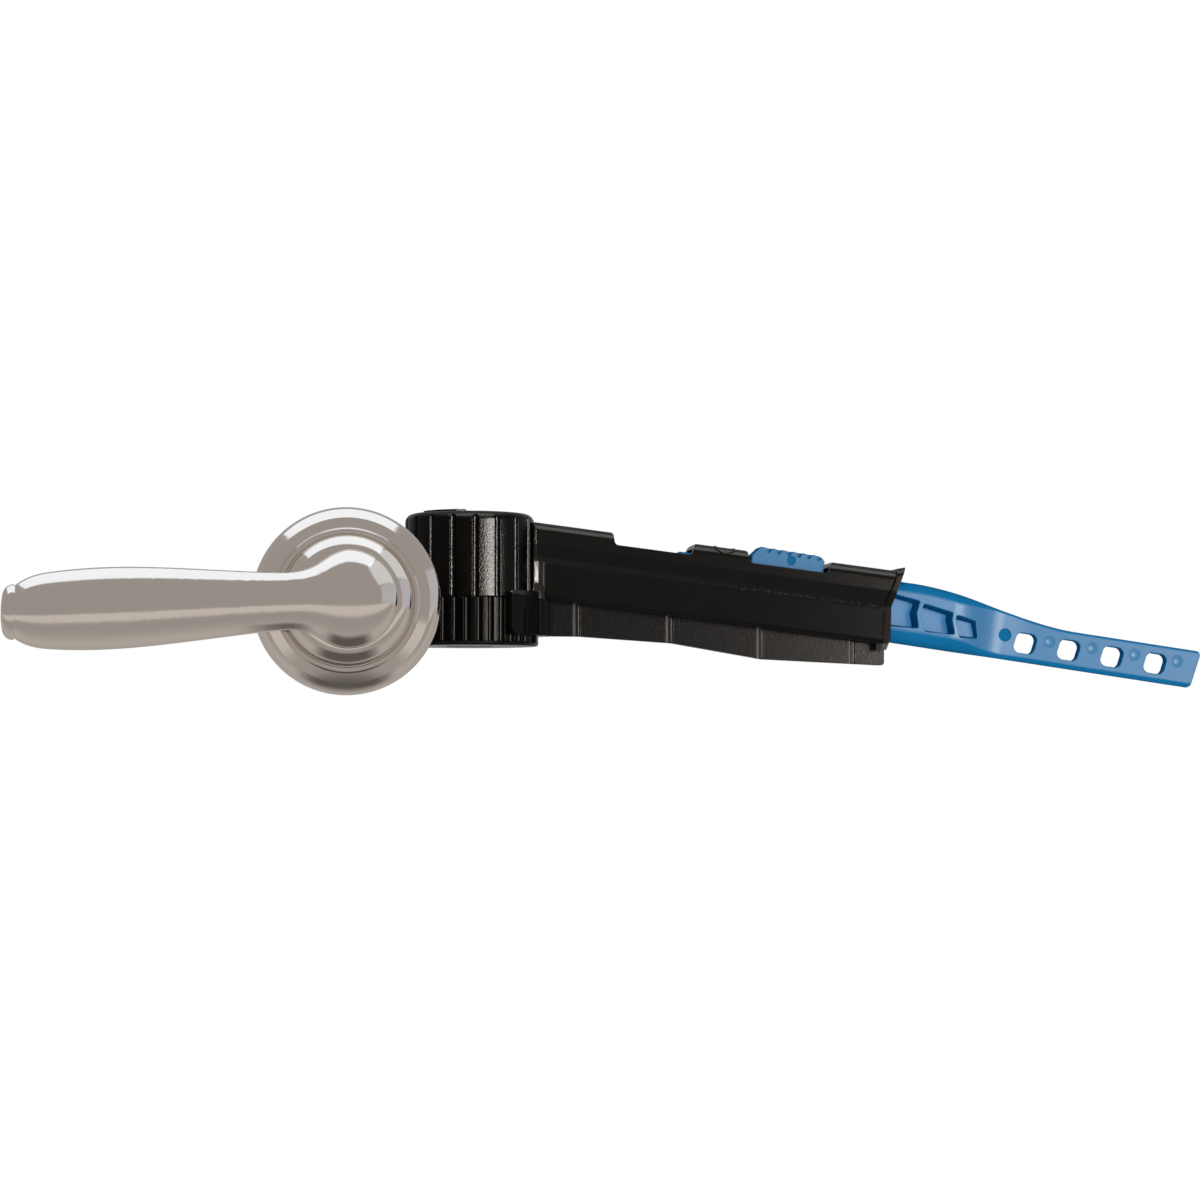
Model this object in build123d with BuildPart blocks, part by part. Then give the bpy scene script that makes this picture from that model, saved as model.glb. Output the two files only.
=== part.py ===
"""Cistern lever: a trip handle for a toilet tank with a folding, telescoping lift arm.

The origin is where the spindle line crosses the outer face of the tank wall. +Z is up, the handle
stands in front of the wall (-Y), and the arm hangs behind it and runs to +X. Sizes are millimetres.
"""

import os
from math import cos, radians, sin

from build123d import *

os.makedirs("parts", exist_ok=True)

# Spindle and tank wall
wall_thick = 12.0
spindle_r = 4.0
running_gap = 0.05
seat_gap = 0.02
spindle_front = -14.0
spindle_rear = 60.0
flat_height = 3.0

# Handle
hub_r = 11.55
hub_half_depth = 5.3
hub_y = -13.2
skirt_r = 15.4
skirt_back = -5.3
neck_r = 11.2
lever_droop = 0.0449
tip_groove = 6.05
key_r = 1.0
key_length = 7.6

# Escutcheon, gasket and bushing
rim_r = 22.3
skirt_gap = 0.35
gasket_thick = 1.8
flange_thick = 1.2
flange_r = 14.0
square_across = 15.6
square_end = 6.0
shank_r = 7.7
shank_end = 34.0

# Nut, washers and clip behind the wall
nut_across = 26.0
nut_thick = 8.0
nut_washer_thick = 1.5
clip_y = 35.05
clip_thick = 0.9

# Knuckle: a toothed drum on a vertical axis beside the spindle
knuckle_x = 33.5
knuckle_y = 58.0
drum_tip_r = 16.6
drum_bottom = -8.1
drum_top = 3.2
drum_teeth = 34
tooth_groove_r = 0.82
tooth_start = -0.9
post_r = 8.6
post_top = 18.0
boss_r = 8.6
boss_front = 40.0
boss_rear = 61.5
turn_boss_r = 9.85
turn_boss_top = -5.05

# Lock knob
knob_r = 16.75
knob_bottom = 3.4
knob_top = 25.2
knob_round = 2.2
knob_wall = 2.3
knob_grooves = 18
knob_groove_r = 0.8
knob_groove_start = 11.0
arrow_r = 12.4
arrow_width = 1.4
arrow_height = 0.55
arrow_start = 202.0
arrow_sweep = 52.0
insert_r = 5.0
bolt_r = 3.0

# Arm: a sloping box channel with a fin below it
arm_slope = 8.35
arm_origin_z = 6.22
arm_clear_r = 17.15
channel_slope = 7.18
channel_low = -0.76
channel_top = 19.56
ledge_low = 8.9
ledge_high = 10.8
lower_half_width = 8.0
upper_half_width = 7.4
channel_top_round = 2.6
root_x = 49.1
root_round = 2.9
root_step = 0.12
root_block = (6.6, 53.0)
root_web = (4.2, 54.6)
collar_half_width = 8.3
window_depth = 3.2
window_1 = (35.6, 55.8)
window_2 = (71.3, 92.3)
chevron_s = 64.4
chevron_half = 2.7
chevron_stroke = 0.9
chevron_height = 0.3
cavity_half_width = 6.1
cavity_floor = 2.15
fin_thick = 2.6
fin_rib_first = 29.4
fin_rib_pitch = 24.4
fin_rib_width = 1.9
fin_rib_height = 0.8
disc_r = 17.9
disc_bottom = -9.1
disc_top = -8.2
disc_round = 0.7
lug_half_angle = 20.0
jaw_outer_r = 18.9
jaw_top = 5.0
jaw_bottom = -6.4
jaw_half_angle = 59.0
jaw_corner_round = 2.4
slit_angle = 45.0
slit_width = 0.95

# Extension: slides in the channel and ends in a strip of chain holes
travel = 36.2
slide_gap = 0.35
body_half_width = cavity_half_width - slide_gap
body_floor = cavity_floor + slide_gap
body_top_at_nose = 17.5
body_top_rise = 0.018
body_high_round = 3.0
body_low_round = 3.8
fall_start = 115.0
thin_start = 127.0
thin_end = 142.0
strip_start = 162.0
strip_end = 196.7
strip_half_thick = 1.6
strip_low_round = 1.4
strip_high_round = 0.7
strip_top = 12.6
end_lean = 1.9
hole_across = 5.8
hole_tall = 5.4
hole_lean = 0.45
hole_round = 1.7
hole_first = 148.4
hole_pitch = 12.0
hole_height = 7.55
hole_count = 4
dimple_first = 154.8
dimple_pitch = 11.85
dimple_height = 9.0
dimple_r = 2.6
dimple_depth = 0.5
mark_s = 142.6
pocket_web = 1.1

# Latch: a springy tongue with the release button
bead_r = 1.6
bead_s = 57.6
bead_n = 15.4
tongue_thick = 1.7
tongue_half_width = 4.0
slot_side_gap = 0.3
slot_floor = 9.4
slot_end = 93.0
nose_cut = 2.0
button_start = 71.9
button_end = 91.2
button_top = 21.95
grip_notches = 6
notch_drop = 1.2
notch_depth = 1.3
grip_first = 76.0
grip_pitch = 2.7

# Knuckle axis and the arm's own planes: x runs along the arm, y across it, the normal faces forward.
# The channel's outside slopes a little less than the extension that slides in it.
knuckle = (knuckle_x, knuckle_y)
arm_plane = Plane(
    origin=(knuckle_x, knuckle_y, arm_origin_z),
    x_dir=(cos(radians(arm_slope)), 0, -sin(radians(arm_slope))),
    z_dir=(0, -1, 0),
)
channel_plane = Plane(
    origin=arm_plane.from_local_coords((0, channel_low, 0)),
    x_dir=(cos(radians(channel_slope)), 0, -sin(radians(channel_slope))),
    z_dir=(0, -1, 0),
)


def across(plane, s):
    """Plane square to the arm or channel at the distance s along it: x to the back, y up."""
    return Plane(origin=plane.from_local_coords((s, 0, 0)), x_dir=(0, 1, 0), z_dir=plane.x_dir)


def wall_plane(y):
    """Plane parallel to the tank wall that looks out of the wall, at the depth y."""
    return Plane.XZ.offset(-y)


def at_angle(r, degrees):
    """Point at the radius r from the knuckle's axis, seen from above; 0 is along the arm."""
    return Vector(knuckle) + Vector(r, 0).rotate(Axis.Z, degrees)


def fin_bottom(s):
    """Height of the fin's lower edge, a run of straight stretches."""
    corners = [(18.0, -10.1), (30.0, -8.4), (54.4, -6.5), (78.8, -7.1), (111.4, -3.9)]
    for (s0, n0), (s1, n1) in zip(corners, corners[1:]):
        if s <= s1:
            return n0 + (n1 - n0) * (s - s0) / (s1 - s0)
    return corners[-1][1]


def body_top(s):
    """Height of the extension's top: it has a slight draft towards its nose."""
    return body_top_at_nose + body_top_rise * (s - 52.0)


# Handle: a zinc casting, a flared skirt with a domed hub that runs out into the lever
lever_sections = [
    (0.0, hub_r),
    (-1.2, 11.43),
    (-2.8, 10.97),
    (-5.0, 9.9),
    (-8.1, 7.95),
    (-11.8, 6.85),
    (-16.5, 6.8),
    (-24.0, 7.35),
    (-40.0, 8.75),
    (-56.0, 9.5),
    (-67.0, 9.0),
    (-72.4, 8.05),
    (-74.2, 7.3),
    (-75.9, 6.25),
]
tip_sections = [(-76.2, 6.35), (-77.2, 6.25), (-78.1, 5.7), (-78.75, 4.6), (-79.1, 2.6)]


def lever_plane(x):
    """Upright plane across the lever at x, on its drooping centre line."""
    return Plane(origin=(x, hub_y, lever_droop * x), x_dir=(0, 1, 0), z_dir=(-1, 0, 0))


def lever_half_depth(x, half_height):
    """The lever's oval has the hub's flatness at the hub and is fuller along the grip."""
    fullness = hub_half_depth / hub_r + 0.05 * min(1.0, -x / 24.0)
    return fullness * half_height


with BuildPart() as hub_dome:
    with BuildSketch(Plane.XY):
        with Locations((0, hub_y)):
            Ellipse(hub_r, hub_half_depth)
        with Locations((-hub_r, hub_y)):
            Rectangle(2 * hub_r, 4 * hub_half_depth, mode=Mode.SUBTRACT)
    revolve(axis=Axis.Y)
    split(bisect_by=Plane.YZ, keep=Keep.TOP)

with BuildPart() as handle:
    for sections in (lever_sections, tip_sections):
        for x, half_height in sections:
            with BuildSketch(lever_plane(x)):
                Ellipse(lever_half_depth(x, half_height), half_height)
        loft()
    with BuildSketch(lever_plane(-75.5)):
        Ellipse(lever_half_depth(-75.5, tip_groove), tip_groove)
    extrude(amount=1.0)
    add(hub_dome.part)
    with BuildSketch(Plane.XY):
        with BuildLine():
            Polyline((0, -11), (0, skirt_back), (skirt_r - 0.5, skirt_back), (skirt_r, skirt_back - 0.5))
            Line((skirt_r, skirt_back - 0.5), (skirt_r, skirt_back - 1.2))
            RadiusArc((skirt_r, skirt_back - 1.2), (neck_r, -11), 4.4)
            Line((neck_r, -11), (0, -11))
        make_face()
    revolve(axis=Axis.Y)
    with BuildSketch(wall_plane(skirt_back)):
        Circle(spindle_r + seat_gap)
    extrude(amount=skirt_back - spindle_front + 0.2, mode=Mode.SUBTRACT)
    with BuildSketch(wall_plane(skirt_back)):
        with Locations((0, spindle_r)):
            Circle(key_r + seat_gap)
    extrude(amount=key_length + 0.2, mode=Mode.SUBTRACT)
handle.part.label = "handle"
export_step(handle.part, "parts/handle.step")

# Round key that locks the handle on the spindle, half in each of them
with BuildPart() as handle_key_pin:
    with BuildSketch(wall_plane(skirt_back - 0.1)):
        with Locations((0, spindle_r)):
            Circle(key_r)
    extrude(amount=key_length)
    chamfer(handle_key_pin.edges().filter_by(GeomType.CIRCLE), 0.2)
handle_key_pin.part.label = "handle_key_pin"
export_step(handle_key_pin.part, "parts/handle_key_pin.step")

# Spindle: a brass rod with a key groove, a clip groove and a flat for the hub's screw
with BuildPart() as spindle:
    with BuildSketch(wall_plane(spindle_rear)):
        Circle(spindle_r)
    extrude(amount=spindle_rear - spindle_front)
    chamfer(spindle.edges().filter_by(GeomType.CIRCLE), 0.5)
    with BuildSketch(wall_plane(clip_y + clip_thick + 0.05)):
        Circle(spindle_r + 1)
        Circle(spindle_r - 0.8, mode=Mode.SUBTRACT)
    extrude(amount=clip_thick + 0.1, mode=Mode.SUBTRACT)
    with BuildSketch(wall_plane(spindle_rear)):
        with Locations((0, flat_height + 1)):
            Rectangle(10, 2)
    extrude(amount=14, mode=Mode.SUBTRACT)
    with BuildSketch(wall_plane(skirt_back)):
        with Locations((0, spindle_r)):
            Circle(key_r + seat_gap)
    extrude(amount=key_length + 0.2, mode=Mode.SUBTRACT)
spindle.part.label = "spindle"
export_step(spindle.part, "parts/spindle.step")

# Nylon washer between the handle and the bushing's nose
with BuildPart() as handle_washer:
    with BuildSketch(wall_plane(skirt_back + 1.0)):
        Circle(8.6)
        Circle(spindle_r + 0.15, mode=Mode.SUBTRACT)
    extrude(amount=0.9)
handle_washer.part.label = "handle_washer"
export_step(handle_washer.part, "parts/handle_washer.step")

# Escutcheon: a plated turning, hollow behind, with a raised inner ring round the handle's skirt
ring_r = skirt_r + skirt_gap
with BuildPart() as escutcheon:
    with BuildSketch(Plane.XY):
        with BuildLine():
            Polyline((rim_r, -0.4), (rim_r, -1.2))
            ThreePointArc((rim_r, -1.2), (21.35, -3.5), (19.6, -4.9))
            Polyline((19.6, -4.9), (17.2, -5.5), (17.0, -5.95), (16.8, -6.05), (ring_r + 0.2, -6.05))
            Polyline((ring_r + 0.2, -6.05), (ring_r, -5.85), (ring_r, -4.2), (9.2, -4.2), (9.2, -3.0))
            Polyline((9.2, -3.0), (17.6, -3.0), (20.0, -2.6), (21.1, -0.4), (rim_r, -0.4))
        make_face()
    revolve(axis=Axis.Y)
escutcheon.part.label = "escutcheon"
export_step(escutcheon.part, "parts/escutcheon.step")

# Mounting bushing: flange and square shoulder for the tank hole, then a round shank for the nut
flange_front = -gasket_thick - flange_thick
with BuildPart() as mounting_bushing:
    with BuildSketch(wall_plane(-4.2)):
        Circle(9.0)
    extrude(amount=-(4.2 + flange_front))
    with BuildSketch(wall_plane(flange_front)):
        Circle(flange_r)
    extrude(amount=-flange_thick)
    with BuildSketch(wall_plane(-gasket_thick)):
        RectangleRounded(square_across, square_across, 0.8)
    extrude(amount=-(gasket_thick + square_end))
    with BuildSketch(wall_plane(square_end)):
        Circle(shank_r)
    extrude(amount=-(shank_end - square_end))
    chamfer(mounting_bushing.faces().sort_by(Axis.Y)[-1].edges(), 0.8)
    with BuildSketch(wall_plane(shank_end)):
        Circle(spindle_r + running_gap)
    extrude(amount=shank_end + 4.2, mode=Mode.SUBTRACT)
mounting_bushing.part.label = "mounting_bushing"
export_step(mounting_bushing.part, "parts/mounting_bushing.step")

# Foam rubber gasket between the escutcheon and the tank wall
with BuildPart() as tank_gasket:
    with BuildSketch(wall_plane(0)):
        Circle(20.4)
        Rectangle(square_across + 0.6, square_across + 0.6, mode=Mode.SUBTRACT)
    extrude(amount=gasket_thick)
    chamfer(tank_gasket.faces().sort_by(Axis.Y)[0].edges().filter_by(GeomType.CIRCLE), 0.6)
tank_gasket.part.label = "tank_gasket"
export_step(tank_gasket.part, "parts/tank_gasket.step")

# Washer under the nut, on the inner face of the tank wall
with BuildPart() as nut_washer:
    with BuildSketch(wall_plane(wall_thick)):
        Circle(15.8)
        Circle(shank_r + 0.5, mode=Mode.SUBTRACT)
    extrude(amount=-nut_washer_thick)
nut_washer.part.label = "nut_washer"
export_step(nut_washer.part, "parts/nut_washer.step")

# Moulded hexagon nut with a round flange
nut_front = wall_thick + nut_washer_thick
with BuildPart() as mounting_nut:
    with BuildSketch(wall_plane(nut_front)):
        Circle(15.2)
    extrude(amount=-2.2)
    with BuildSketch(wall_plane(nut_front + 2.2)):
        RegularPolygon(nut_across / 2, 6, major_radius=False)
    extrude(amount=-(nut_thick - 2.2))
    fillet(mounting_nut.edges().filter_by(Axis.Y), 1.2)
    chamfer(mounting_nut.faces().sort_by(Axis.Y)[-1].edges(), 0.7)
    with BuildSketch(wall_plane(nut_front)):
        Circle(shank_r + running_gap)
    extrude(amount=-nut_thick, mode=Mode.SUBTRACT)
mounting_nut.part.label = "mounting_nut"
export_step(mounting_nut.part, "parts/mounting_nut.step")

# Thrust washer on the bushing's inner end
with BuildPart() as thrust_washer:
    with BuildSketch(wall_plane(shank_end)):
        Circle(7.2)
        Circle(spindle_r + 0.15, mode=Mode.SUBTRACT)
    extrude(amount=-0.9)
thrust_washer.part.label = "thrust_washer"
export_step(thrust_washer.part, "parts/thrust_washer.step")

# Spring steel E-clip in the spindle's groove
with BuildPart() as retaining_clip:
    with BuildSketch(wall_plane(clip_y)):
        Circle(6.6)
        Circle(spindle_r + 0.7, mode=Mode.SUBTRACT)
        with PolarLocations(0, 3, start_angle=90):
            with Locations((4.2, 0)):
                Rectangle(2.0, 2.6)
        with Locations((0, -4.2)):
            Rectangle(5.0, 5.6, mode=Mode.SUBTRACT)
        Circle(spindle_r - 0.75, mode=Mode.SUBTRACT)
    extrude(amount=-clip_thick)
retaining_clip.part.label = "retaining_clip"
export_step(retaining_clip.part, "parts/retaining_clip.step")

# Knuckle hub: the crank on the spindle's end, with the toothed drum and the knob's post
with BuildPart() as knuckle_hub:
    with BuildSketch(wall_plane(boss_rear)):
        Circle(boss_r)
    extrude(amount=boss_rear - boss_front)
    fillet(knuckle_hub.edges().filter_by(GeomType.CIRCLE), 0.8)
    with BuildSketch(Plane.XY.offset(drum_bottom + 0.3)):
        with Locations((knuckle_x / 2, knuckle_y - 2.5)):
            Rectangle(knuckle_x, 11)
    extrude(amount=drum_top - drum_bottom - 0.7)
    with BuildSketch(Plane.XY.offset(drum_bottom)):
        with Locations(knuckle):
            Circle(drum_tip_r)
            with PolarLocations(drum_tip_r, drum_teeth, start_angle=tooth_start):
                Circle(tooth_groove_r, mode=Mode.SUBTRACT)
    extrude(amount=drum_top - drum_bottom)
    with BuildSketch(Plane.XY.offset(drum_top)):
        with Locations(knuckle):
            Circle(post_r)
    extrude(amount=post_top - drum_top)
    with BuildSketch(Plane.XY.offset(drum_bottom)):
        with Locations(knuckle):
            Circle(turn_boss_r + 0.07)
    extrude(amount=turn_boss_top + running_gap - drum_bottom, mode=Mode.SUBTRACT)
    with BuildSketch(Plane.XY.offset(drum_bottom)):
        with Locations(knuckle):
            Circle(bolt_r + 0.2)
    extrude(amount=post_top - drum_bottom, mode=Mode.SUBTRACT)
    with BuildSketch(wall_plane(boss_front)):
        Circle(spindle_r + seat_gap)
        with Locations((0, flat_height + 1.06)):
            Rectangle(10, 2, mode=Mode.SUBTRACT)
    extrude(amount=-(spindle_rear - boss_front + 0.2), mode=Mode.SUBTRACT)
    with BuildSketch(wall_plane(boss_front)):
        Circle(spindle_r + seat_gap)
    extrude(amount=-(spindle_rear - 14 - boss_front), mode=Mode.SUBTRACT)
    with BuildSketch(Plane.XY.offset(flat_height)):
        with Locations((0, 53)):
            Circle(2.5)
    extrude(amount=8, mode=Mode.SUBTRACT)
knuckle_hub.part.label = "knuckle_hub"
export_step(knuckle_hub.part, "parts/knuckle_hub.step")

# Grub screw that clamps the hub on the spindle's flat
with BuildPart() as hub_set_screw:
    with BuildSketch(Plane.XY.offset(flat_height + 0.02)):
        with Locations((0, 53)):
            Circle(2.45)
    extrude(amount=5.6)
    chamfer(hub_set_screw.edges().sort_by(Axis.Z)[0], 0.5)
    with BuildSketch(Plane.XY.offset(flat_height + 5.62)):
        with Locations((0, 53)):
            RegularPolygon(1.4, 6)
    extrude(amount=-2.4, mode=Mode.SUBTRACT)
hub_set_screw.part.label = "hub_set_screw"
export_step(hub_set_screw.part, "parts/hub_set_screw.step")

# Pivot bolt: a flat round head and a square neck held by the arm's disc, threaded into the knob
with BuildPart() as pivot_bolt:
    with BuildSketch(Plane.XY.offset(disc_bottom + 0.1)):
        with Locations(knuckle):
            Circle(5.8)
    extrude(amount=1.9)
    chamfer(pivot_bolt.edges().sort_by(Axis.Z)[0], 0.5)
    with BuildSketch(Plane.XY.offset(disc_bottom + 2.0)):
        with Locations(knuckle):
            Rectangle(6.2, 6.2)
    extrude(amount=turn_boss_top - disc_bottom - 2.4)
    with BuildSketch(Plane.XY.offset(disc_bottom + 2.0)):
        with Locations(knuckle):
            Circle(bolt_r)
    extrude(amount=knob_top - 1.6 - disc_bottom - 2.0)
    chamfer(pivot_bolt.edges().sort_by(Axis.Z)[-1], 0.6)
pivot_bolt.part.label = "pivot_bolt"
export_step(pivot_bolt.part, "parts/pivot_bolt.step")

# Washer on top of the hub's post
with BuildPart() as knob_washer:
    with BuildSketch(Plane.XY.offset(post_top)):
        with Locations(knuckle):
            Circle(7.2)
            Circle(bolt_r + 0.3, mode=Mode.SUBTRACT)
    extrude(amount=1.0)
knob_washer.part.label = "knob_washer"
export_step(knob_washer.part, "parts/knob_washer.step")

# Lock knob: a fluted cap with a flat top, hollow below, moulded round its brass insert
insert_bottom = post_top + 1.1
with BuildPart() as lock_knob:
    with BuildSketch(Plane.XZ.offset(-knuckle_y)):
        with BuildLine():
            edge = knuckle_x + knob_r
            bend = knob_round * (1 - sin(radians(45)))
            Polyline((knuckle_x, knob_bottom), (edge, knob_bottom), (edge, knob_top - knob_round))
            ThreePointArc(
                (edge, knob_top - knob_round),
                (edge - bend, knob_top - bend),
                (edge - knob_round, knob_top),
            )
            Polyline((edge - knob_round, knob_top), (knuckle_x, knob_top), (knuckle_x, knob_bottom))
        make_face()
    revolve(axis=Axis((knuckle_x, knuckle_y, 0), (0, 0, 1)))
    with BuildSketch(Plane.XY.offset(knob_bottom)):
        with Locations(knuckle):
            Circle(knob_r - knob_wall)
    extrude(amount=knob_top - 2.4 - knob_bottom, mode=Mode.SUBTRACT)
    with BuildSketch(Plane.XY.offset(insert_bottom)):
        with Locations(knuckle):
            Circle(7.6)
    extrude(amount=knob_top - 2.0 - insert_bottom)
    with BuildSketch(Plane.XY.offset(insert_bottom)):
        with Locations(knuckle):
            Circle(insert_r + seat_gap)
    extrude(amount=knob_top - 1.2 - insert_bottom, mode=Mode.SUBTRACT)
    with Locations((knuckle_x, knuckle_y, knob_bottom)):
        with PolarLocations(knob_r + 0.1, knob_grooves, start_angle=knob_groove_start):
            Cylinder(
                knob_groove_r,
                knob_top - 1.6 - knob_bottom,
                align=(Align.CENTER, Align.CENTER, Align.MIN),
                mode=Mode.SUBTRACT,
            )
    with Locations((knuckle_x, knuckle_y, knob_top - 1.6)):
        with PolarLocations(knob_r + 0.1, knob_grooves, start_angle=knob_groove_start):
            Sphere(knob_groove_r, mode=Mode.SUBTRACT)
    # raised arrow on the top that shows which way to turn
    with BuildSketch(Plane.XY.offset(knob_top)):
        SlotArc(CenterArc(knuckle, arrow_r, arrow_start, arrow_sweep, mode=Mode.PRIVATE), arrow_width)
        arrow_end = arrow_start + arrow_sweep
        with Locations(at_angle(arrow_r, arrow_end)):
            RegularPolygon(1.2 * arrow_width, 3, rotation=arrow_end + 90)
    extrude(amount=arrow_height)
lock_knob.part.label = "lock_knob"
export_step(lock_knob.part, "parts/lock_knob.step")

# Threaded brass insert in the knob
with BuildPart() as knob_insert:
    with BuildSketch(Plane.XY.offset(insert_bottom)):
        with Locations(knuckle):
            Circle(insert_r)
            Circle(bolt_r + running_gap, mode=Mode.SUBTRACT)
    extrude(amount=knob_top - 1.6 - insert_bottom)
knob_insert.part.label = "knob_insert"
export_step(knob_insert.part, "parts/knob_insert.step")

# Room for the extension inside the channel, open at the knob and at the mouth
with BuildPart() as cavity:
    with BuildSketch(arm_plane):
        roof = slide_gap + body_top_rise * travel
        Polygon(
            (0, cavity_floor),
            (120, cavity_floor),
            (120, body_top(120) + roof),
            (0, body_top(0) + roof),
            align=None,
        )
    extrude(amount=cavity_half_width, both=True)
    long_edges = cavity.edges().filter_by(lambda e: abs(e.center().Y - knuckle_y) > 1 and e.length > 60)
    fillet(long_edges, 1.6)

# Collar round the channel's mouth: it leans forward over the extension and stands proud all round
with BuildPart() as mouth_collar:
    with BuildSketch(arm_plane):
        Polygon(
            (108.8, -0.3),
            (109.8, -0.1),
            (110.6, 3.0),
            (109.6, 11.2),
            (111.3, 18.3),
            (112.1, 22.2),
            (110.0, 21.5),
            (109.8, 18.2),
            (107.8, 11.2),
            align=None,
        )
    extrude(amount=collar_half_width, both=True)
    top_corners = mouth_collar.faces().sort_by(Axis.Z)[-1].edges().filter_by(
        lambda e: abs(e.center().Y - knuckle_y) > collar_half_width - 0.1
    )
    fillet(top_corners, 2.0)

# Chevron on the strap's front edge that points down at the latch's way in, raised over the rounding
with BuildPart() as strap_chevron:
    with BuildSketch(across(channel_plane, chevron_s - 4)):
        with Locations((0, channel_top + chevron_height)):
            half_width = upper_half_width + chevron_height
            Rectangle(2 * half_width, 6, align=(Align.CENTER, Align.MAX))
        fillet(vertices().group_by(Axis.Y)[-1], channel_top_round + chevron_height)
    extrude(amount=8)
    with BuildSketch(channel_plane.offset(upper_half_width - channel_top_round)):
        chevron_top = channel_top + 0.2
        Polygon(
            (chevron_s - chevron_half, chevron_top),
            (chevron_s, chevron_top - 1.1),
            (chevron_s + chevron_half, chevron_top),
            (chevron_s + chevron_half, chevron_top - chevron_stroke),
            (chevron_s, chevron_top - 1.1 - chevron_stroke),
            (chevron_s - chevron_half, chevron_top - chevron_stroke),
            align=None,
        )
    extrude(amount=4, mode=Mode.INTERSECT)

# Arm: a glass-filled moulding, box channel, ribbed fin, jaw round the drum and pivot disc in one
with BuildPart() as arm:
    with BuildSketch(Plane.XY.offset(disc_bottom)):
        with Locations(knuckle):
            Circle(disc_r)
    extrude(amount=disc_top - disc_bottom)
    fillet(arm.edges().group_by(Axis.Z)[0], disc_round)
    # box channel with a soft ledge along each side
    with BuildSketch(across(channel_plane, 8)):
        Polygon(
            (-lower_half_width, 0),
            (lower_half_width, 0),
            (lower_half_width, ledge_low),
            (upper_half_width, ledge_high),
            (upper_half_width, channel_top),
            (-upper_half_width, channel_top),
            (-upper_half_width, ledge_high),
            (-lower_half_width, ledge_low),
            align=None,
        )
        fillet(vertices().group_by(Axis.Y)[-1], channel_top_round)
        fillet(vertices().group_by(Axis.Y)[0], 1.0)
    extrude(amount=108)
    # rounded upright corners at the root
    with BuildSketch(Plane.XY.offset(jaw_bottom)):
        with Locations((root_x + root_round, knuckle_y)):
            Rectangle(30, 2 * lower_half_width + 2, align=(Align.MAX, Align.CENTER))
        with Locations((root_x, knuckle_y)):
            width = 2 * (lower_half_width - root_step)
            RectangleRounded(30, width, root_round, align=(Align.MIN, Align.CENTER), mode=Mode.SUBTRACT)
    extrude(amount=40, mode=Mode.SUBTRACT)
    # gap over the jaw on both sides of the root, then the sloping mouth
    for side in (1, -1):
        with BuildSketch(arm_plane.offset(side * root_block[0])):
            Polygon((8, -4), (19.9, -4), (19.9, -0.2), (19.1, 1.7), (18.0, 3.4), (8, 3.4), align=None)
        extrude(amount=side * 4, mode=Mode.SUBTRACT)
    with BuildSketch(arm_plane):
        mouth_line = [(109.6, -3), (109.4, 3), (108.7, 11.2), (110.6, 18.2), (111, 26)]
        Polygon(*mouth_line, (122, 26), (122, -3), align=None)
    extrude(amount=12, both=True, mode=Mode.SUBTRACT)
    add(mouth_collar.part)
    # two windows for the latch button, with the strap between them
    with BuildSketch(channel_plane):
        window_floor = channel_top - window_depth
        for start, end in (window_1, window_2):
            Polygon(
                (start, window_floor),
                (end, window_floor),
                (end + 0.7, channel_top - 0.5),
                (end + 1.6, channel_top + 0.6),
                (start - 1.6, channel_top + 0.6),
                (start - 0.7, channel_top - 0.5),
                align=None,
            )
        fillet(vertices().group_by(Axis.Y)[0], 1.2)
    extrude(amount=12, both=True, mode=Mode.SUBTRACT)
    add(strap_chevron.part)
    # fin under the channel, with upright ribs
    with BuildSketch(arm_plane):
        Polygon(
            (17, 1),
            *[(s, fin_bottom(s)) for s in (17.0, 30.0, 54.4, 78.8, 111.4)],
            (110.8, 0.4),
            (108, 1.8),
            align=None,
        )
        fillet(vertices().sort_by(Axis.X)[-1], 0.9)
    extrude(amount=fin_thick / 2, both=True)
    for n in range(4):
        s = fin_rib_first + n * fin_rib_pitch
        foot = arm_plane.from_local_coords((s, fin_bottom(s) + 0.1, 0))
        with BuildSketch(Plane(origin=foot)):
            RectangleRounded(fin_rib_width, fin_thick + 2 * fin_rib_height, 0.6)
        extrude(amount=1.2 - fin_bottom(s))
    # stepped root of the fin, and the jaw round the drum
    for half_width, reach in (root_block, root_web):
        with BuildSketch(Plane.XY.offset(jaw_bottom)):
            with Locations((reach, knuckle_y)):
                Rectangle(10, 2 * half_width, align=(Align.MAX, Align.CENTER))
        extrude(amount=4.0 - jaw_bottom)
    with BuildSketch(Plane.XY.offset(jaw_bottom)):
        with BuildLine():
            CenterArc(knuckle, jaw_outer_r, -jaw_half_angle, 2 * jaw_half_angle)
            Line(at_angle(jaw_outer_r, -jaw_half_angle), knuckle)
            Line(knuckle, at_angle(jaw_outer_r, jaw_half_angle))
        make_face()
    extrude(amount=jaw_top - jaw_bottom)
    with BuildSketch(Plane.XY.offset(drum_bottom - 0.1)):
        with Locations(knuckle):
            Circle(arm_clear_r)
    extrude(amount=40, mode=Mode.SUBTRACT)
    finger_ends = [at_angle(jaw_outer_r, side * jaw_half_angle) for side in (-1, 1)]
    low_corners = arm.edges().filter_by(
        lambda e: abs(e.center().Z - jaw_bottom) < 0.01
        and min((Vector(e.center().X, e.center().Y) - end).length for end in finger_ends) < 1.2
        and e.length < 2.0
    )
    fillet(low_corners, jaw_corner_round)
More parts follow.
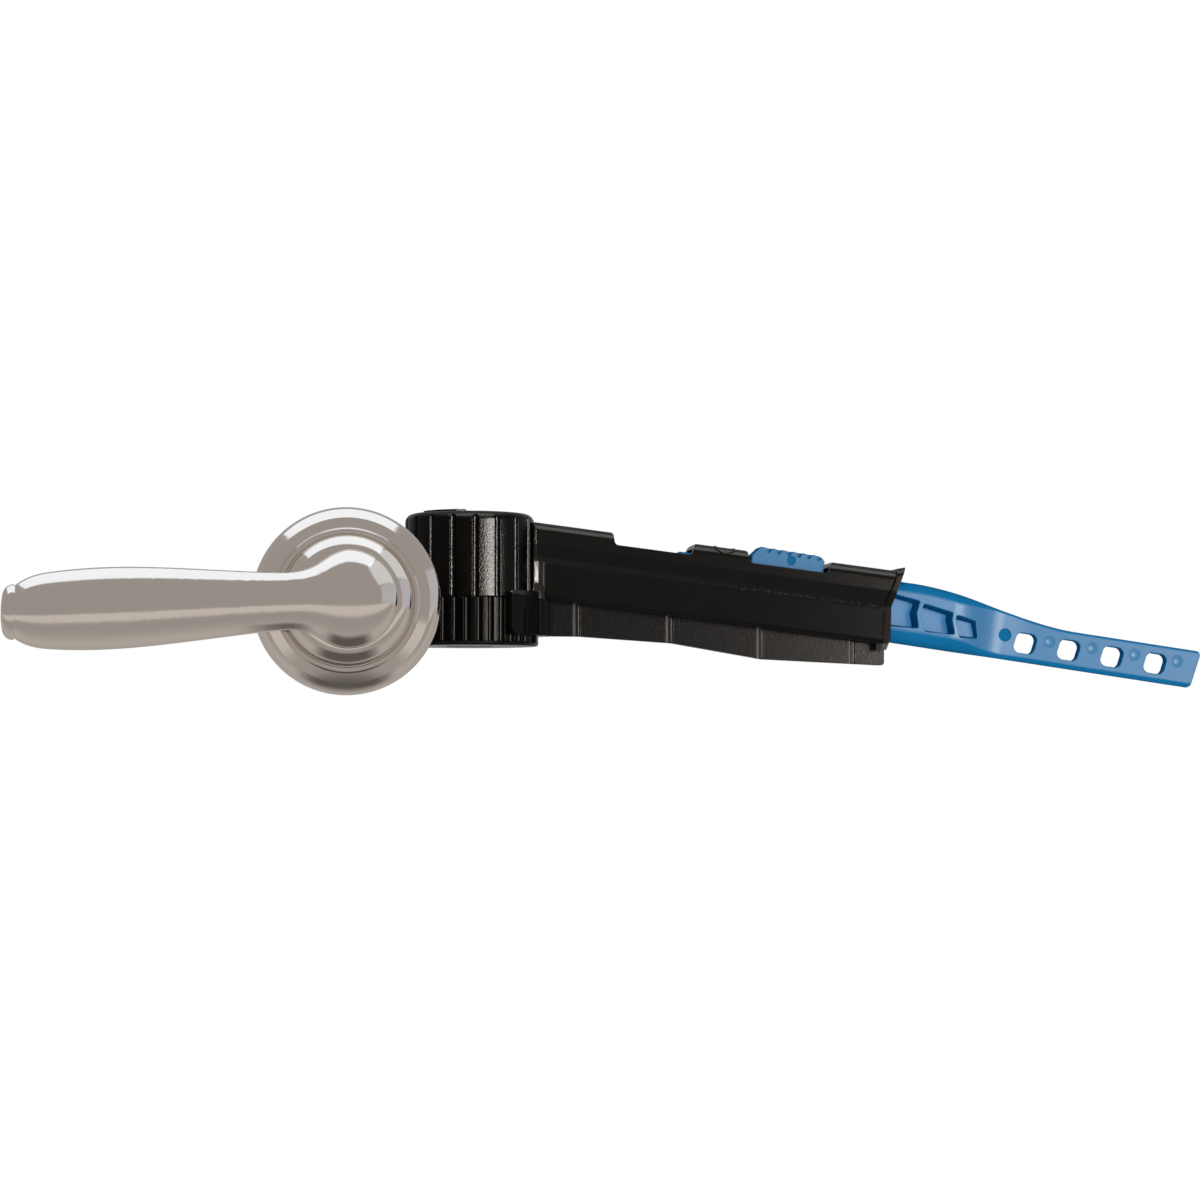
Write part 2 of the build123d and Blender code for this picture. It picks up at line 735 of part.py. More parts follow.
    # lug from the disc to the jaw, and the boss that turns in the drum
    with BuildSketch(Plane.XY.offset(disc_bottom + 0.4)):
        with BuildLine():
            CenterArc(knuckle, disc_r, -lug_half_angle, 2 * lug_half_angle)
            CenterArc(knuckle, arm_clear_r, -lug_half_angle, 2 * lug_half_angle)
            for side in (-lug_half_angle, lug_half_angle):
                Line(at_angle(arm_clear_r, side), at_angle(disc_r, side))
        make_face()
    extrude(amount=jaw_bottom - disc_bottom)
    with BuildSketch(Plane.XY.offset(disc_bottom)):
        with Locations(knuckle):
            Circle(turn_boss_r)
    extrude(amount=turn_boss_top - disc_bottom)
    with BuildSketch(Plane.XY.offset(disc_bottom)):
        with Locations(knuckle):
            Circle(6.0)
    extrude(amount=2.0, mode=Mode.SUBTRACT)
    with BuildSketch(Plane.XY.offset(disc_bottom)):
        with Locations(knuckle):
            Rectangle(6.3, 6.3)
    extrude(amount=6, mode=Mode.SUBTRACT)
    # slits that leave a springy finger at each end of the jaw
    for side in (-slit_angle, slit_angle):
        with BuildSketch(Plane.XY.offset(jaw_bottom)):
            with Locations(at_angle(18, side)):
                Rectangle(4, slit_width, rotation=side)
        extrude(amount=7.0, mode=Mode.SUBTRACT)
    add(cavity.part, mode=Mode.SUBTRACT)
arm.part.label = "arm"
export_step(arm.part, "parts/arm.step")

# Extension: the body that slides in the channel, lofted down into the strip of chain holes
def ease(s, start, end):
    """Share of the way from start to end, with an even run in and out."""
    share = min(max((s - start) / (end - start), 0.0), 1.0)
    return share * share * (3 - 2 * share)


def section_size(s):
    """Half width, top and corner radii, high and low, of the extension at s."""
    thin = ease(s, thin_start, thin_end)
    fall = ease(s, fall_start, strip_start)
    half_width = body_half_width + (strip_half_thick - body_half_width) * thin
    top = body_top(s) + (strip_top - body_top(s)) * fall
    high_round = body_high_round + (strip_high_round - body_high_round) * thin
    low_round = body_low_round + (strip_low_round - body_low_round) * thin
    return half_width, top, high_round, low_round


body_stations = (48, 112)
fall_stations = (112, 115, 118, 121, 124, thin_start)
waist_stations = (thin_start, 128.5, 130, 132, 134.5, 137, 139, 140.5, thin_end)
run_stations = (thin_end, 147, 152, 157, 162)
strip_stations = (162, 202)
pockets = [
    (
        [(108, 15.2), (117.8, 14.2), (117.2, 10.9), (118.3, 6.9), (108, 6.2)],
        [(108.8, 14.6), (116.9, 13.6), (116.3, 10.9), (117.5, 7.2), (108.8, 6.9)],
    ),
    (
        [(118.7, 13.7), (127.0, 12.5), (126.9, 10.5), (128.3, 6.7), (119.8, 6.3), (117.95, 10.9)],
        [(119.6, 13.0), (126.2, 11.9), (126.2, 10.4), (127.5, 6.9), (120.5, 6.8), (118.8, 10.9)],
    ),
    (
        [(127.8, 12.1), (134.0, 11.5), (135.3, 6.5), (129.4, 6.1), (127.7, 10.8)],
        [(129.0, 11.2), (133.1, 10.8), (134.5, 7.0), (130.3, 6.8), (128.8, 10.4)],
    ),
]
with BuildPart() as extension:
    # sliding body, then the falling top and the waist, then the strip with its leaning end
    for stations in (body_stations, fall_stations, waist_stations, run_stations, strip_stations):
        for s in stations:
            half_width, top, high_round, low_round = section_size(s)
            with BuildSketch(across(arm_plane, s)):
                with Locations((0, body_floor)):
                    Rectangle(2 * half_width, top - body_floor, align=(Align.CENTER, Align.MIN))
                fillet(vertices().group_by(Axis.Y)[-1], high_round)
                fillet(vertices().group_by(Axis.Y)[0], low_round)
        loft(ruled=len(stations) == 2)
    end_low = (strip_end - end_lean, body_floor - 0.06)
    end_high = (strip_end, strip_top + 0.06)
    with BuildSketch(arm_plane):
        with Locations((186, 8)):
            Rectangle(30, 30, align=(Align.MIN, Align.CENTER))
        Polygon((180, end_low[1]), end_low, end_high, (180, end_high[1]), align=None, mode=Mode.SUBTRACT)
        fillet([vertices().sort_by_distance(corner)[0] for corner in (end_low, end_high)], 1.3)
    extrude(amount=10, both=True, mode=Mode.SUBTRACT)
    # hollow nose that clears the knob when the arm is pushed in
    with BuildSketch(Plane.XY.offset(-20)):
        with Locations((knuckle_x + (travel + nose_cut) * cos(radians(arm_slope)), knuckle_y)):
            Circle(arm_clear_r)
    extrude(amount=60, mode=Mode.SUBTRACT)
    # chevron-walled pockets in both faces, with sloping sides
    for side in (1, -1):
        for rim, floor in pockets:
            with BuildSketch(arm_plane.offset(side * (body_half_width + 0.45))):
                Polygon(*rim, align=None)
                fillet(vertices(), 0.5)
            with BuildSketch(arm_plane.offset(side * pocket_web)):
                Polygon(*floor, align=None)
                fillet(vertices(), 0.4)
            loft(ruled=True, mode=Mode.SUBTRACT)
    # chain holes: rounded parallelograms
    with BuildSketch(arm_plane):
        for n in range(hole_count):
            s = hole_first + n * hole_pitch
            low = hole_height - hole_tall / 2
            high = hole_height + hole_tall / 2
            Polygon(
                (s - hole_across / 2 - hole_lean, low),
                (s + hole_across / 2 - hole_lean, low),
                (s + hole_across / 2 + hole_lean, high),
                (s - hole_across / 2 + hole_lean, high),
                align=None,
            )
        fillet(vertices(), hole_round)
    extrude(amount=10, both=True, mode=Mode.SUBTRACT)
    # round dents beside the holes and a flat mark at the waist, in the front face
    dent_centre = strip_half_thick + dimple_r - dimple_depth
    for n in range(hole_count):
        s = dimple_first + n * dimple_pitch
        with Locations(arm_plane.from_local_coords((s, dimple_height, dent_centre))):
            Sphere(dimple_r, mode=Mode.SUBTRACT)
    with BuildSketch(arm_plane.offset(strip_half_thick - 0.3)):
        with Locations((mark_s, dimple_height)):
            Circle(1.6)
    extrude(amount=3, mode=Mode.SUBTRACT)
    # slot for the latch, with the round socket for its bead
    slot_half = tongue_half_width + slot_side_gap
    with BuildSketch(arm_plane):
        Polygon((bead_s, 22), (bead_s, slot_floor), (slot_end, slot_floor), (slot_end, 22), align=None)
        hinge = bead_s + 0.4
        Polygon((50, bead_n), (hinge, bead_n), (hinge, 22), (50, 22), align=None, mode=Mode.SUBTRACT)
        with Locations((bead_s, bead_n)):
            Circle(bead_r + running_gap)
    extrude(amount=slot_half, both=True, mode=Mode.SUBTRACT)
extension.part.label = "extension"
export_step(extension.part, "parts/extension.step")

# Latch button: a springy tongue that pivots on a bead in the extension, notched for the thumb
with BuildPart() as latch_button:
    with BuildSketch(arm_plane):
        Polygon(
            (bead_s, bead_n - tongue_thick / 2),
            (button_end, bead_n - tongue_thick / 2),
            (button_end, button_top - 1.3),
            (button_end - 1.3, button_top),
            (button_start + 2.0, button_top),
            (button_start, button_top - 2.5),
            (button_start, bead_n + tongue_thick / 2),
            (bead_s, bead_n + tongue_thick / 2),
            align=None,
        )
        with Locations((bead_s, bead_n)):
            Circle(bead_r)
    extrude(amount=tongue_half_width, both=True)
    # grip notches along both top edges, and a flat round mark in the front
    for side in (1, -1):
        with BuildSketch(arm_plane.offset(side * tongue_half_width)):
            for n in range(grip_notches):
                s = grip_first + n * grip_pitch
                Polygon(
                    (s - 1.0, button_top + 0.1),
                    (s - 0.3, button_top - notch_drop),
                    (s + 0.3, button_top - notch_drop),
                    (s + 1.0, button_top + 0.1),
                    align=None,
                )
        extrude(amount=-side * notch_depth, mode=Mode.SUBTRACT)
    with BuildSketch(arm_plane.offset(tongue_half_width)):
        with Locations((82.3, 19.6)):
            Circle(1.1)
    extrude(amount=-0.2, mode=Mode.SUBTRACT)
latch_button.part.label = "latch_button"
export_step(latch_button.part, "parts/latch_button.step")
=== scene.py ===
from math import cos, pi, radians, sin

import bmesh
import bpy
from mathutils import Matrix, Vector


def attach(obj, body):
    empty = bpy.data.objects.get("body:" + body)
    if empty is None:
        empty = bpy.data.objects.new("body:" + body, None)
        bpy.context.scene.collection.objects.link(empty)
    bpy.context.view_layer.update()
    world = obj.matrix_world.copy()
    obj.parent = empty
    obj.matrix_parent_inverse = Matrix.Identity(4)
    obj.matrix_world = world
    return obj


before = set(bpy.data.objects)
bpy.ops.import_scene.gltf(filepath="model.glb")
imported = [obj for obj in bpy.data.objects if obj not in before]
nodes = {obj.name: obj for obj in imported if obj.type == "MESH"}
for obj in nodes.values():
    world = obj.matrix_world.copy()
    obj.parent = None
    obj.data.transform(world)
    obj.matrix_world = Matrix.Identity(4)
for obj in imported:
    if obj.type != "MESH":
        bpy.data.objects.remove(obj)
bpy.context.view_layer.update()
scene = bpy.context.scene
scene.view_settings.view_transform = "Standard"

# Camera: a long lens in front of the handle, left of the arm's middle and a little below it,
# as the photograph was taken.
lens_angle = 24.98
camera_at = Vector((-0.018568, -0.644541, -0.027726))
camera_aim = Vector((0.060572, 0.0, 0.000627))
camera = bpy.data.objects.new("camera", bpy.data.cameras.new("camera"))
scene.collection.objects.link(camera)
camera.data.angle = radians(lens_angle)
camera.data.clip_start = 0.01
camera.data.clip_end = 20.0
camera.location = camera_at
camera.rotation_mode = "QUATERNION"
camera.rotation_quaternion = (camera_aim - camera_at).to_track_quat("-Z", "Y")
scene.camera = camera


# World: plain white where it is seen directly, in a reflection or through glass, and a soft even
# fill for everything else.
def feed(tree, socket, value):
    """Gives an input a link from another socket, or a plain value."""
    if isinstance(value, bpy.types.NodeSocket):
        tree.links.new(value, socket)
    else:
        socket.default_value = value


def calc(tree, operation, *values):
    """Output of a Math node; each value is a socket or a plain number."""
    node = tree.nodes.new("ShaderNodeMath")
    node.operation = operation
    for socket, value in zip(node.inputs, values):
        feed(tree, socket, value)
    return node.outputs[0]


def seen_directly(tree):
    """1 for rays from the camera, from a polished surface or through glass, 0 for the rest."""
    ray = tree.nodes.new("ShaderNodeLightPath")
    glossy = calc(tree, "MAXIMUM", ray.outputs["Is Camera Ray"], ray.outputs["Is Glossy Ray"])
    return calc(tree, "MAXIMUM", glossy, ray.outputs["Is Transmission Ray"])


fill_level = 0.22
world = bpy.data.worlds.new("studio")
scene.world = world
world.use_nodes = True
tree = world.node_tree
background = tree.nodes["Background"]
background.inputs["Color"].default_value = (1.0, 1.0, 1.0, 1.0)
strength = calc(tree, "MULTIPLY_ADD", seen_directly(tree), 1.0 - fill_level, fill_level)
tree.links.new(strength, background.inputs["Strength"])


# Floor: white paper well below the object. Close to the object it shows the shadow, and further
# out it fades into the white background.
def stage_piece(name, bm, material):
    """Object that belongs to the studio and not to the lever."""
    mesh = bpy.data.meshes.new(name)
    bm.to_mesh(mesh)
    bm.free()
    mesh.materials.append(material)
    piece = bpy.data.objects.new(name, mesh)
    scene.collection.objects.link(piece)
    return piece


def vector_calc(tree, operation, vector, other=(0.0, 0.0, 0.0)):
    """Outputs of a Vector Math node, whose second vector is plain numbers."""
    node = tree.nodes.new("ShaderNodeVectorMath")
    node.operation = operation
    node.inputs[1].default_value = other
    tree.links.new(vector, node.inputs[0])
    return node.outputs


def map_range(tree, value, start, end, low=0.0, high=1.0, kind="LINEAR"):
    """Output that goes from low to high while the value goes from start to end."""
    node = tree.nodes.new("ShaderNodeMapRange")
    node.interpolation_type = kind
    sockets = ("Value", "From Min", "From Max", "To Min", "To Max")
    for socket, given in zip(sockets, (value, start, end, low, high)):
        feed(tree, node.inputs[socket], given)
    return node.outputs["Result"]


floor_drop = 0.28
floor_half = 4.0
shadow_reach = (0.25, 0.9)
paper_glow = (0.25, 0.95)
paper = bpy.data.materials.new("floor_paper")
paper.use_nodes = True
tree = paper.node_tree
shader = tree.nodes["Principled BSDF"]
shader.inputs["Base Color"].default_value = (0.8, 0.8, 0.8, 1.0)
shader.inputs["Roughness"].default_value = 0.9
shader.inputs["Emission Color"].default_value = (1.0, 1.0, 1.0, 1.0)
place = tree.nodes.new("ShaderNodeTexCoord")
distance = vector_calc(tree, "LENGTH", place.outputs["Object"])["Value"]
fade = map_range(tree, distance, *shadow_reach, *paper_glow)
glow = calc(tree, "MULTIPLY", seen_directly(tree), fade)
tree.links.new(glow, shader.inputs["Emission Strength"])
bm = bmesh.new()
bmesh.ops.create_grid(bm, x_segments=1, y_segments=1, size=floor_half)
bmesh.ops.translate(bm, verts=bm.verts, vec=(0.0, 0.0, -floor_drop))
floor = stage_piece("floor", bm, paper)
floor.visible_glossy = False

# Reflector tent: a wide tube along the object that only reflections see. Its walls are what
# polished metal shows: grey all round, a white sheet overhead, a pale card at the right, and below
# the lens a pale table top over a darker floor.
tent_radius = 1.3
tent_half_length = 3.2
tent_segments = 180
wall_bands = [
    (-180, 0.50),
    (-120, 0.52),
    (-90, 0.57),
    (-65, 0.55),
    (-45, 0.46),
    (-30, 0.42),
    (-21, 0.44),
    (-17.0, 0.71),
    (-6.0, 0.74),
    (-5.6, 0.43),
    (180, 0.45),
]
sheet_bands = [(-180, 0.0), (55.5, 0.0), (56.0, 1.0), (121, 1.0), (128, 0.0)]
sheet_reach = (-0.86, 0.68)
sheet_colour = (1.26, 1.42, 1.62)
card_from = radians(47)
card_reach = (-0.06, 0.42)
card_colour = (0.60, 0.64, 0.72)


def split_axes(tree, vector):
    """The X, Y and Z of a vector, as outputs of one node."""
    axes = tree.nodes.new("ShaderNodeSeparateXYZ")
    tree.links.new(vector, axes.inputs[0])
    return axes.outputs


def ramp_by_angle(tree, angle_share, bands):
    """Grey by the angle round the tent, from a list of (degrees, level)."""
    ramp = tree.nodes.new("ShaderNodeValToRGB")
    ramp.color_ramp.elements.remove(ramp.color_ramp.elements[1])
    for i, (degrees, level) in enumerate(bands):
        position = (degrees + 180) / 360
        stop = ramp.color_ramp.elements.new(position) if i else ramp.color_ramp.elements[0]
        stop.position = position
        stop.color = (level, level, level, 1.0)
    tree.links.new(angle_share, ramp.inputs["Fac"])
    return ramp.outputs["Color"]


def between(tree, value, reach):
    """1 where the value lies between the two numbers."""
    above = calc(tree, "GREATER_THAN", value, reach[0])
    return calc(tree, "MULTIPLY", above, calc(tree, "LESS_THAN", value, reach[1]))


def mixed(tree, factor, first, second):
    """Colour between two, each a socket or three numbers."""
    mix = tree.nodes.new("ShaderNodeMix")
    mix.data_type = "RGBA"
    tree.links.new(factor, mix.inputs["Factor"])
    for socket, colour in ((mix.inputs[6], first), (mix.inputs[7], second)):
        linked = isinstance(colour, bpy.types.NodeSocket)
        feed(tree, socket, colour if linked else (*colour, 1.0))
    return mix.outputs[2]


def glowing(name):
    """Material that only gives off light, and its Emission shader."""
    material = bpy.data.materials.new(name)
    material.use_nodes = True
    tree = material.node_tree
    tree.nodes.remove(tree.nodes["Principled BSDF"])
    glow = tree.nodes.new("ShaderNodeEmission")
    tree.links.new(glow.outputs[0], tree.nodes["Material Output"].inputs["Surface"])
    return material, glow


def reflected_only(piece):
    """Only polished surfaces see the piece."""
    piece.visible_camera = False
    piece.visible_diffuse = False
    piece.visible_shadow = False
    piece.visible_transmission = False


tent_paint, glow = glowing("tent_walls")
tree = tent_paint.node_tree
place = tree.nodes.new("ShaderNodeTexCoord")
axes = split_axes(tree, place.outputs["Object"])
forward = calc(tree, "MULTIPLY", axes["Y"], -1.0)
angle = calc(tree, "ARCTAN2", axes["Z"], forward)
angle_share = calc(tree, "MULTIPLY_ADD", angle, 0.5 / pi, 0.5)
wall = ramp_by_angle(tree, angle_share, wall_bands)
across = between(tree, calc(tree, "DIVIDE", axes["X"], axes["Z"]), sheet_reach)
sheet_on = calc(tree, "MULTIPLY", ramp_by_angle(tree, angle_share, sheet_bands), across)
turn = calc(tree, "ARCTAN2", axes["X"], forward)
rise = calc(tree, "DIVIDE", axes["Z"], axes["X"])
at_right = between(tree, turn, (card_from, pi - card_from))
card_on = calc(tree, "MULTIPLY", at_right, between(tree, rise, card_reach))
walls = mixed(tree, card_on, mixed(tree, sheet_on, wall, sheet_colour), card_colour)
tree.links.new(walls, glow.inputs["Color"])
bm = bmesh.new()
bmesh.ops.create_cone(
    bm,
    cap_ends=True,
    segments=tent_segments,
    radius1=tent_radius,
    radius2=tent_radius,
    depth=2 * tent_half_length,
    matrix=Matrix.Rotation(radians(90), 4, "Y"),
)
reflected_only(stage_piece("tent", bm, tent_paint))

# Dark flags: small cards flat below the plate and upright behind the drum, which only reflections
# see. They are the stand under the lever, and darken the lower edges of plate, skirt and drum.
flag_soft = 0.6
flag_paint, glow = glowing("dark_flag")
tree = flag_paint.node_tree
glow.inputs["Color"].default_value = (1.0, 0.97, 0.95, 1.0)
glow.inputs["Strength"].default_value = 0.137
place = tree.nodes.new("ShaderNodeTexCoord")
axes = split_axes(tree, place.outputs["UV"])
edges = []
for axis in ("X", "Y"):
    from_middle = calc(tree, "ABSOLUTE", calc(tree, "MULTIPLY_ADD", axes[axis], 2.0, -1.0))
    edges.append(map_range(tree, from_middle, 1.0, 1.0 - flag_soft, kind="SMOOTHSTEP"))
clear = tree.nodes.new("ShaderNodeBsdfTransparent")
blend = tree.nodes.new("ShaderNodeMixShader")
tree.links.new(calc(tree, "MULTIPLY", *edges), blend.inputs["Fac"])
tree.links.new(clear.outputs[0], blend.inputs[1])
tree.links.new(glow.outputs[0], blend.inputs[2])
tree.links.new(blend.outputs[0], tree.nodes["Material Output"].inputs["Surface"])
for name, at, half, tilt in (
    ("flag_plate", (0.0, -0.016, -0.030), (0.024, 0.020), 0.0),
    ("flag_drum", (0.034, 0.130, -0.037), (0.060, 0.028), 90.0),
):
    spot = Matrix.Translation(at) @ Matrix.Rotation(radians(tilt), 4, "X")
    spot = spot @ Matrix.Diagonal((*half, 1.0, 1.0))
    bm = bmesh.new()
    bm.loops.layers.uv.new()
    bmesh.ops.create_grid(bm, x_segments=1, y_segments=1, size=1.0, matrix=spot, calc_uvs=True)
    reflected_only(stage_piece(name, bm, flag_paint))


# Lamps: soft boxes above, in front and behind that light the object without showing in it, and
# ones that show only as highlights: on the mouldings and, at the upper right, on the handle's hub.
def soft_box(name, at, aim, width, height, watts):
    """Rectangular lamp at a point, turned to another."""
    lamp = bpy.data.objects.new(name, bpy.data.lights.new(name, "AREA"))
    scene.collection.objects.link(lamp)
    lamp.data.shape = "RECTANGLE"
    lamp.data.size = width
    lamp.data.size_y = height
    lamp.data.energy = watts
    lamp.location = at
    lamp.rotation_mode = "QUATERNION"
    lamp.rotation_quaternion = (Vector(aim) - Vector(at)).to_track_quat("-Z", "Y")
    return lamp


def highlight(lamp, *pieces):
    """The lamp shows only as a highlight on these pieces."""
    lamp.visible_diffuse = False
    lit = bpy.data.collections.new(lamp.name)
    for piece in pieces:
        lit.objects.link(nodes[piece])
    lamp.light_linking.receiver_collection = lit


lever_at = (0.1, 0.05, 0.0)
hub_at = (0.0, -0.015, 0.0)
knuckle_at = (0.034, 0.05, 0.0)
arm_at = (0.05, 0.05, 0.0)
right_at = (0.86, -1.2, 0.03)
for name, at, aim, side, watts in (
    ("overhead", (0.05, -0.1, 0.9), (0.08, 0.05, 0.0), 0.25, 2.0),
    ("front", (0.2, -1.3, 0.12), lever_at, 0.6, 13.0),
    ("back", (0.1, 1.4, 0.5), lever_at, 0.6, 11.0),
):
    soft_box(name, at, aim, side, side, watts).visible_glossy = False
for name, at, aim, width, height, watts, pieces in (
    ("right_knob", right_at, knuckle_at, 0.56, 0.44, 82.0, ("lock_knob", "extension", "latch_button")),
    ("right_hub", right_at, knuckle_at, 0.56, 0.44, 23.0, ("knuckle_hub",)),
    ("right_arm", (0.7, -1.2, 0.03), arm_at, 0.46, 0.25, 8.0, ("arm",)),
    ("top", (0.1, -0.45, 0.95), arm_at, 1.2, 0.8, 27.0, ("knuckle_hub", "lock_knob", "arm")),
):
    highlight(soft_box(name, at, aim, width, height, watts), *pieces)
left = soft_box("left", (-1.34, -0.51, -0.03), arm_at, 1.2, 0.22, 38.0)
left.data.use_shadow = False
left.data.cycles.use_multiple_importance_sampling = False
highlight(left, "arm")
card = soft_box("hub_card", (0.92, -0.12, 0.77), hub_at, 1.9, 0.71, 2.0)
card.data.color = (0.82, 0.95, 1.12)
highlight(card, "handle")

# Tank gasket: a thin ring of black foam rubber, die cut, behind the plate.
# Its surface shows the open cells of the foam.
mm = 0.001
mottle_scale = 90.0
speck_levels = (0.56, 0.68)
bump_height = 0.2 * mm
bevel_samples = 6
grain = bpy.data.node_groups.new("moulded_grain", "ShaderNodeTree")
for way, sockets in (
    ("INPUT", (("Vector", "Vector"), ("Scale", "Float"), ("Depth", "Float"), ("Edge", "Float"))),
    ("OUTPUT", (("Mottle", "Float"), ("Speckle", "Float"), ("Normal", "Vector"), ("Rounded", "Vector"))),
):
    for socket, kind in sockets:
        grain.interface.new_socket(socket, in_out=way, socket_type="NodeSocket" + kind)
group_in = grain.nodes.new("NodeGroupInput")
group_out = grain.nodes.new("NodeGroupOutput")
slow = grain.nodes.new("ShaderNodeTexNoise")
slow.inputs["Scale"].default_value = mottle_scale
slow.inputs["Detail"].default_value = 3.0
grain.links.new(group_in.outputs["Vector"], slow.inputs["Vector"])
grain.links.new(slow.outputs["Fac"], group_out.inputs["Mottle"])
fine = grain.nodes.new("ShaderNodeTexNoise")
fine.inputs["Detail"].default_value = 2.0
grain.links.new(group_in.outputs["Vector"], fine.inputs["Vector"])
grain.links.new(group_in.outputs["Scale"], fine.inputs["Scale"])
specks = map_range(grain, fine.outputs["Fac"], *speck_levels)
grain.links.new(specks, group_out.inputs["Speckle"])
rounded = grain.nodes.new("ShaderNodeBevel")
rounded.samples = bevel_samples
grain.links.new(group_in.outputs["Edge"], rounded.inputs["Radius"])
bump = grain.nodes.new("ShaderNodeBump")
bump.inputs["Distance"].default_value = bump_height
grain.links.new(group_in.outputs["Depth"], bump.inputs["Strength"])
grain.links.new(fine.outputs["Fac"], bump.inputs["Height"])
grain.links.new(rounded.outputs["Normal"], bump.inputs["Normal"])
grain.links.new(rounded.outputs["Normal"], group_out.inputs["Rounded"])
grain.links.new(bump.outputs["Normal"], group_out.inputs["Normal"])


def moulding(
    name,
    dark,
    light,
    roughness,
    metallic=0.0,
    specular=0.5,
    tint=(1.0, 1.0, 1.0),
    scale=1500.0,
    depth=0.1,
    edge=0.2,
):
    """Material with a colour between two tones over a fine grain, and edges rounded by some mm."""
    material = bpy.data.materials.new(name)
    material.use_nodes = True
    tree = material.node_tree
    shader = tree.nodes["Principled BSDF"]
    shader.inputs["Metallic"].default_value = metallic
    shader.inputs["Roughness"].default_value = roughness
    shader.inputs["Specular IOR Level"].default_value = specular
    shader.inputs["Specular Tint"].default_value = (*tint, 1.0)
    place = tree.nodes.new("ShaderNodeTexCoord")
    surface = tree.nodes.new("ShaderNodeGroup")
    surface.node_tree = grain
    surface.name = "surface"
    surface.inputs["Scale"].default_value = scale
    surface.inputs["Depth"].default_value = depth
    surface.inputs["Edge"].default_value = edge * mm
    tree.links.new(place.outputs["Object"], surface.inputs["Vector"])
    tone = mixed(tree, surface.outputs["Mottle"], dark, light)
    tree.links.new(tone, shader.inputs["Base Color"])
    tree.links.new(surface.outputs["Normal"], shader.inputs["Normal"])
    return material


def dress(material, *names):
    """These CAD nodes take the material as their only one."""
    for name in names:
        nodes[name].data.materials.clear()
        nodes[name].data.materials.append(material)


foam_tones = ((0.012, 0.012, 0.012), (0.03, 0.03, 0.03))
foam = moulding("gasket_foam", *foam_tones, 0.85, depth=0.6, edge=0.0)
dress(foam, "tank_gasket")

# Mounting bushing: a black acetal moulding with a square shoulder for the tank hole and a coarse
# thread on its shank for the nut. The thread is a ridge wound round the shank.
black_tones = ((0.0011, 0.001, 0.0009), (0.002, 0.0018, 0.0016))
black_finish = dict(roughness=0.17, specular=0.09, tint=(1.0, 0.92, 0.84), scale=2600.0, edge=0.3)
black = moulding("black_moulding", *black_tones, **black_finish, depth=0.12)
dress(black, "mounting_bushing")
thread_pitch = 2.0
thread_root = 7.6
thread_crest = 7.95
thread_start = 21.8
thread_end = 33.0
crest_from = 0.75
crest_to = 1.0
ridge_width = 1.75
turn_steps = 36


def lever_piece(name, bm, material, body):
    """Shown piece that rides on a body of the lever and takes the given material."""
    mesh = bpy.data.meshes.new(name)
    bm.to_mesh(mesh)
    bm.free()
    mesh.materials.append(material)
    piece = bpy.data.objects.new(name, mesh)
    scene.collection.objects.link(piece)
    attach(piece, body)
    return piece


ridge = (
    (thread_root, 0.0),
    (thread_crest, crest_from),
    (thread_crest, crest_to),
    (thread_root, ridge_width),
)
bm = bmesh.new()
corners = [bm.verts.new((r * mm, (thread_start + along) * mm, 0.0)) for r, along in ridge]
profile = [bm.edges.new((corners[i], corners[(i + 1) % 4])) for i in range(4)]
turns = (thread_end - thread_start - ridge_width) / thread_pitch
bmesh.ops.spin(
    bm,
    geom=corners + profile,
    axis=(0.0, 1.0, 0.0),
    dvec=(0.0, thread_pitch * mm / turn_steps, 0.0),
    angle=2 * pi * turns,
    steps=round(turns * turn_steps),
)
bmesh.ops.holes_fill(bm, edges=[e for e in bm.edges if e.is_boundary], sides=4)
bmesh.ops.recalc_face_normals(bm, faces=bm.faces)
lever_piece("shank_thread", bm, black, "mount")

# Escutcheon and handle: zinc castings, polished and plated with nickel.
# The polish leaves a faint unevenness that softens reflections.
nickel_tones = ((0.69, 0.61, 0.535), (0.71, 0.63, 0.555))
nickel_finish = dict(roughness=0.1, metallic=1.0, scale=500.0, depth=0.004, edge=0.0)
nickel = moulding("polished_nickel", *nickel_tones, **nickel_finish)
dress(nickel, "escutcheon", "handle")

# Nut, thrust washer and handle washer: natural nylon mouldings.
# The nut clamps the wall, and the washers run against the handle and the clip.
nylon = moulding("natural_nylon", (0.60, 0.585, 0.52), (0.68, 0.665, 0.60), 0.45)
dress(nylon, "mounting_nut", "thrust_washer", "handle_washer")

# Washers, clip, key, bolt and grub screw: zinc-plated steel.
# Stamped, turned or headed, with the fine dull bloom of the plating.
steel_tones = ((0.42, 0.42, 0.43), (0.52, 0.52, 0.53))
steel = moulding("zinc_plate", *steel_tones, 0.32, metallic=1.0, scale=2500.0, edge=0.0)
dress(steel, "nut_washer", "knob_washer", "retaining_clip")
dress(steel, "pivot_bolt", "handle_key_pin", "hub_set_screw")

# Spindle and knob insert: turned brass.
# The spindle carries the handle and the crank, and the insert takes the pivot bolt.
brass_tones = ((0.50, 0.36, 0.15), (0.58, 0.43, 0.19))
brass = moulding("turned_brass", *brass_tones, 0.28, metallic=1.0, scale=2500.0, edge=0.0)
dress(brass, "spindle", "knob_insert")
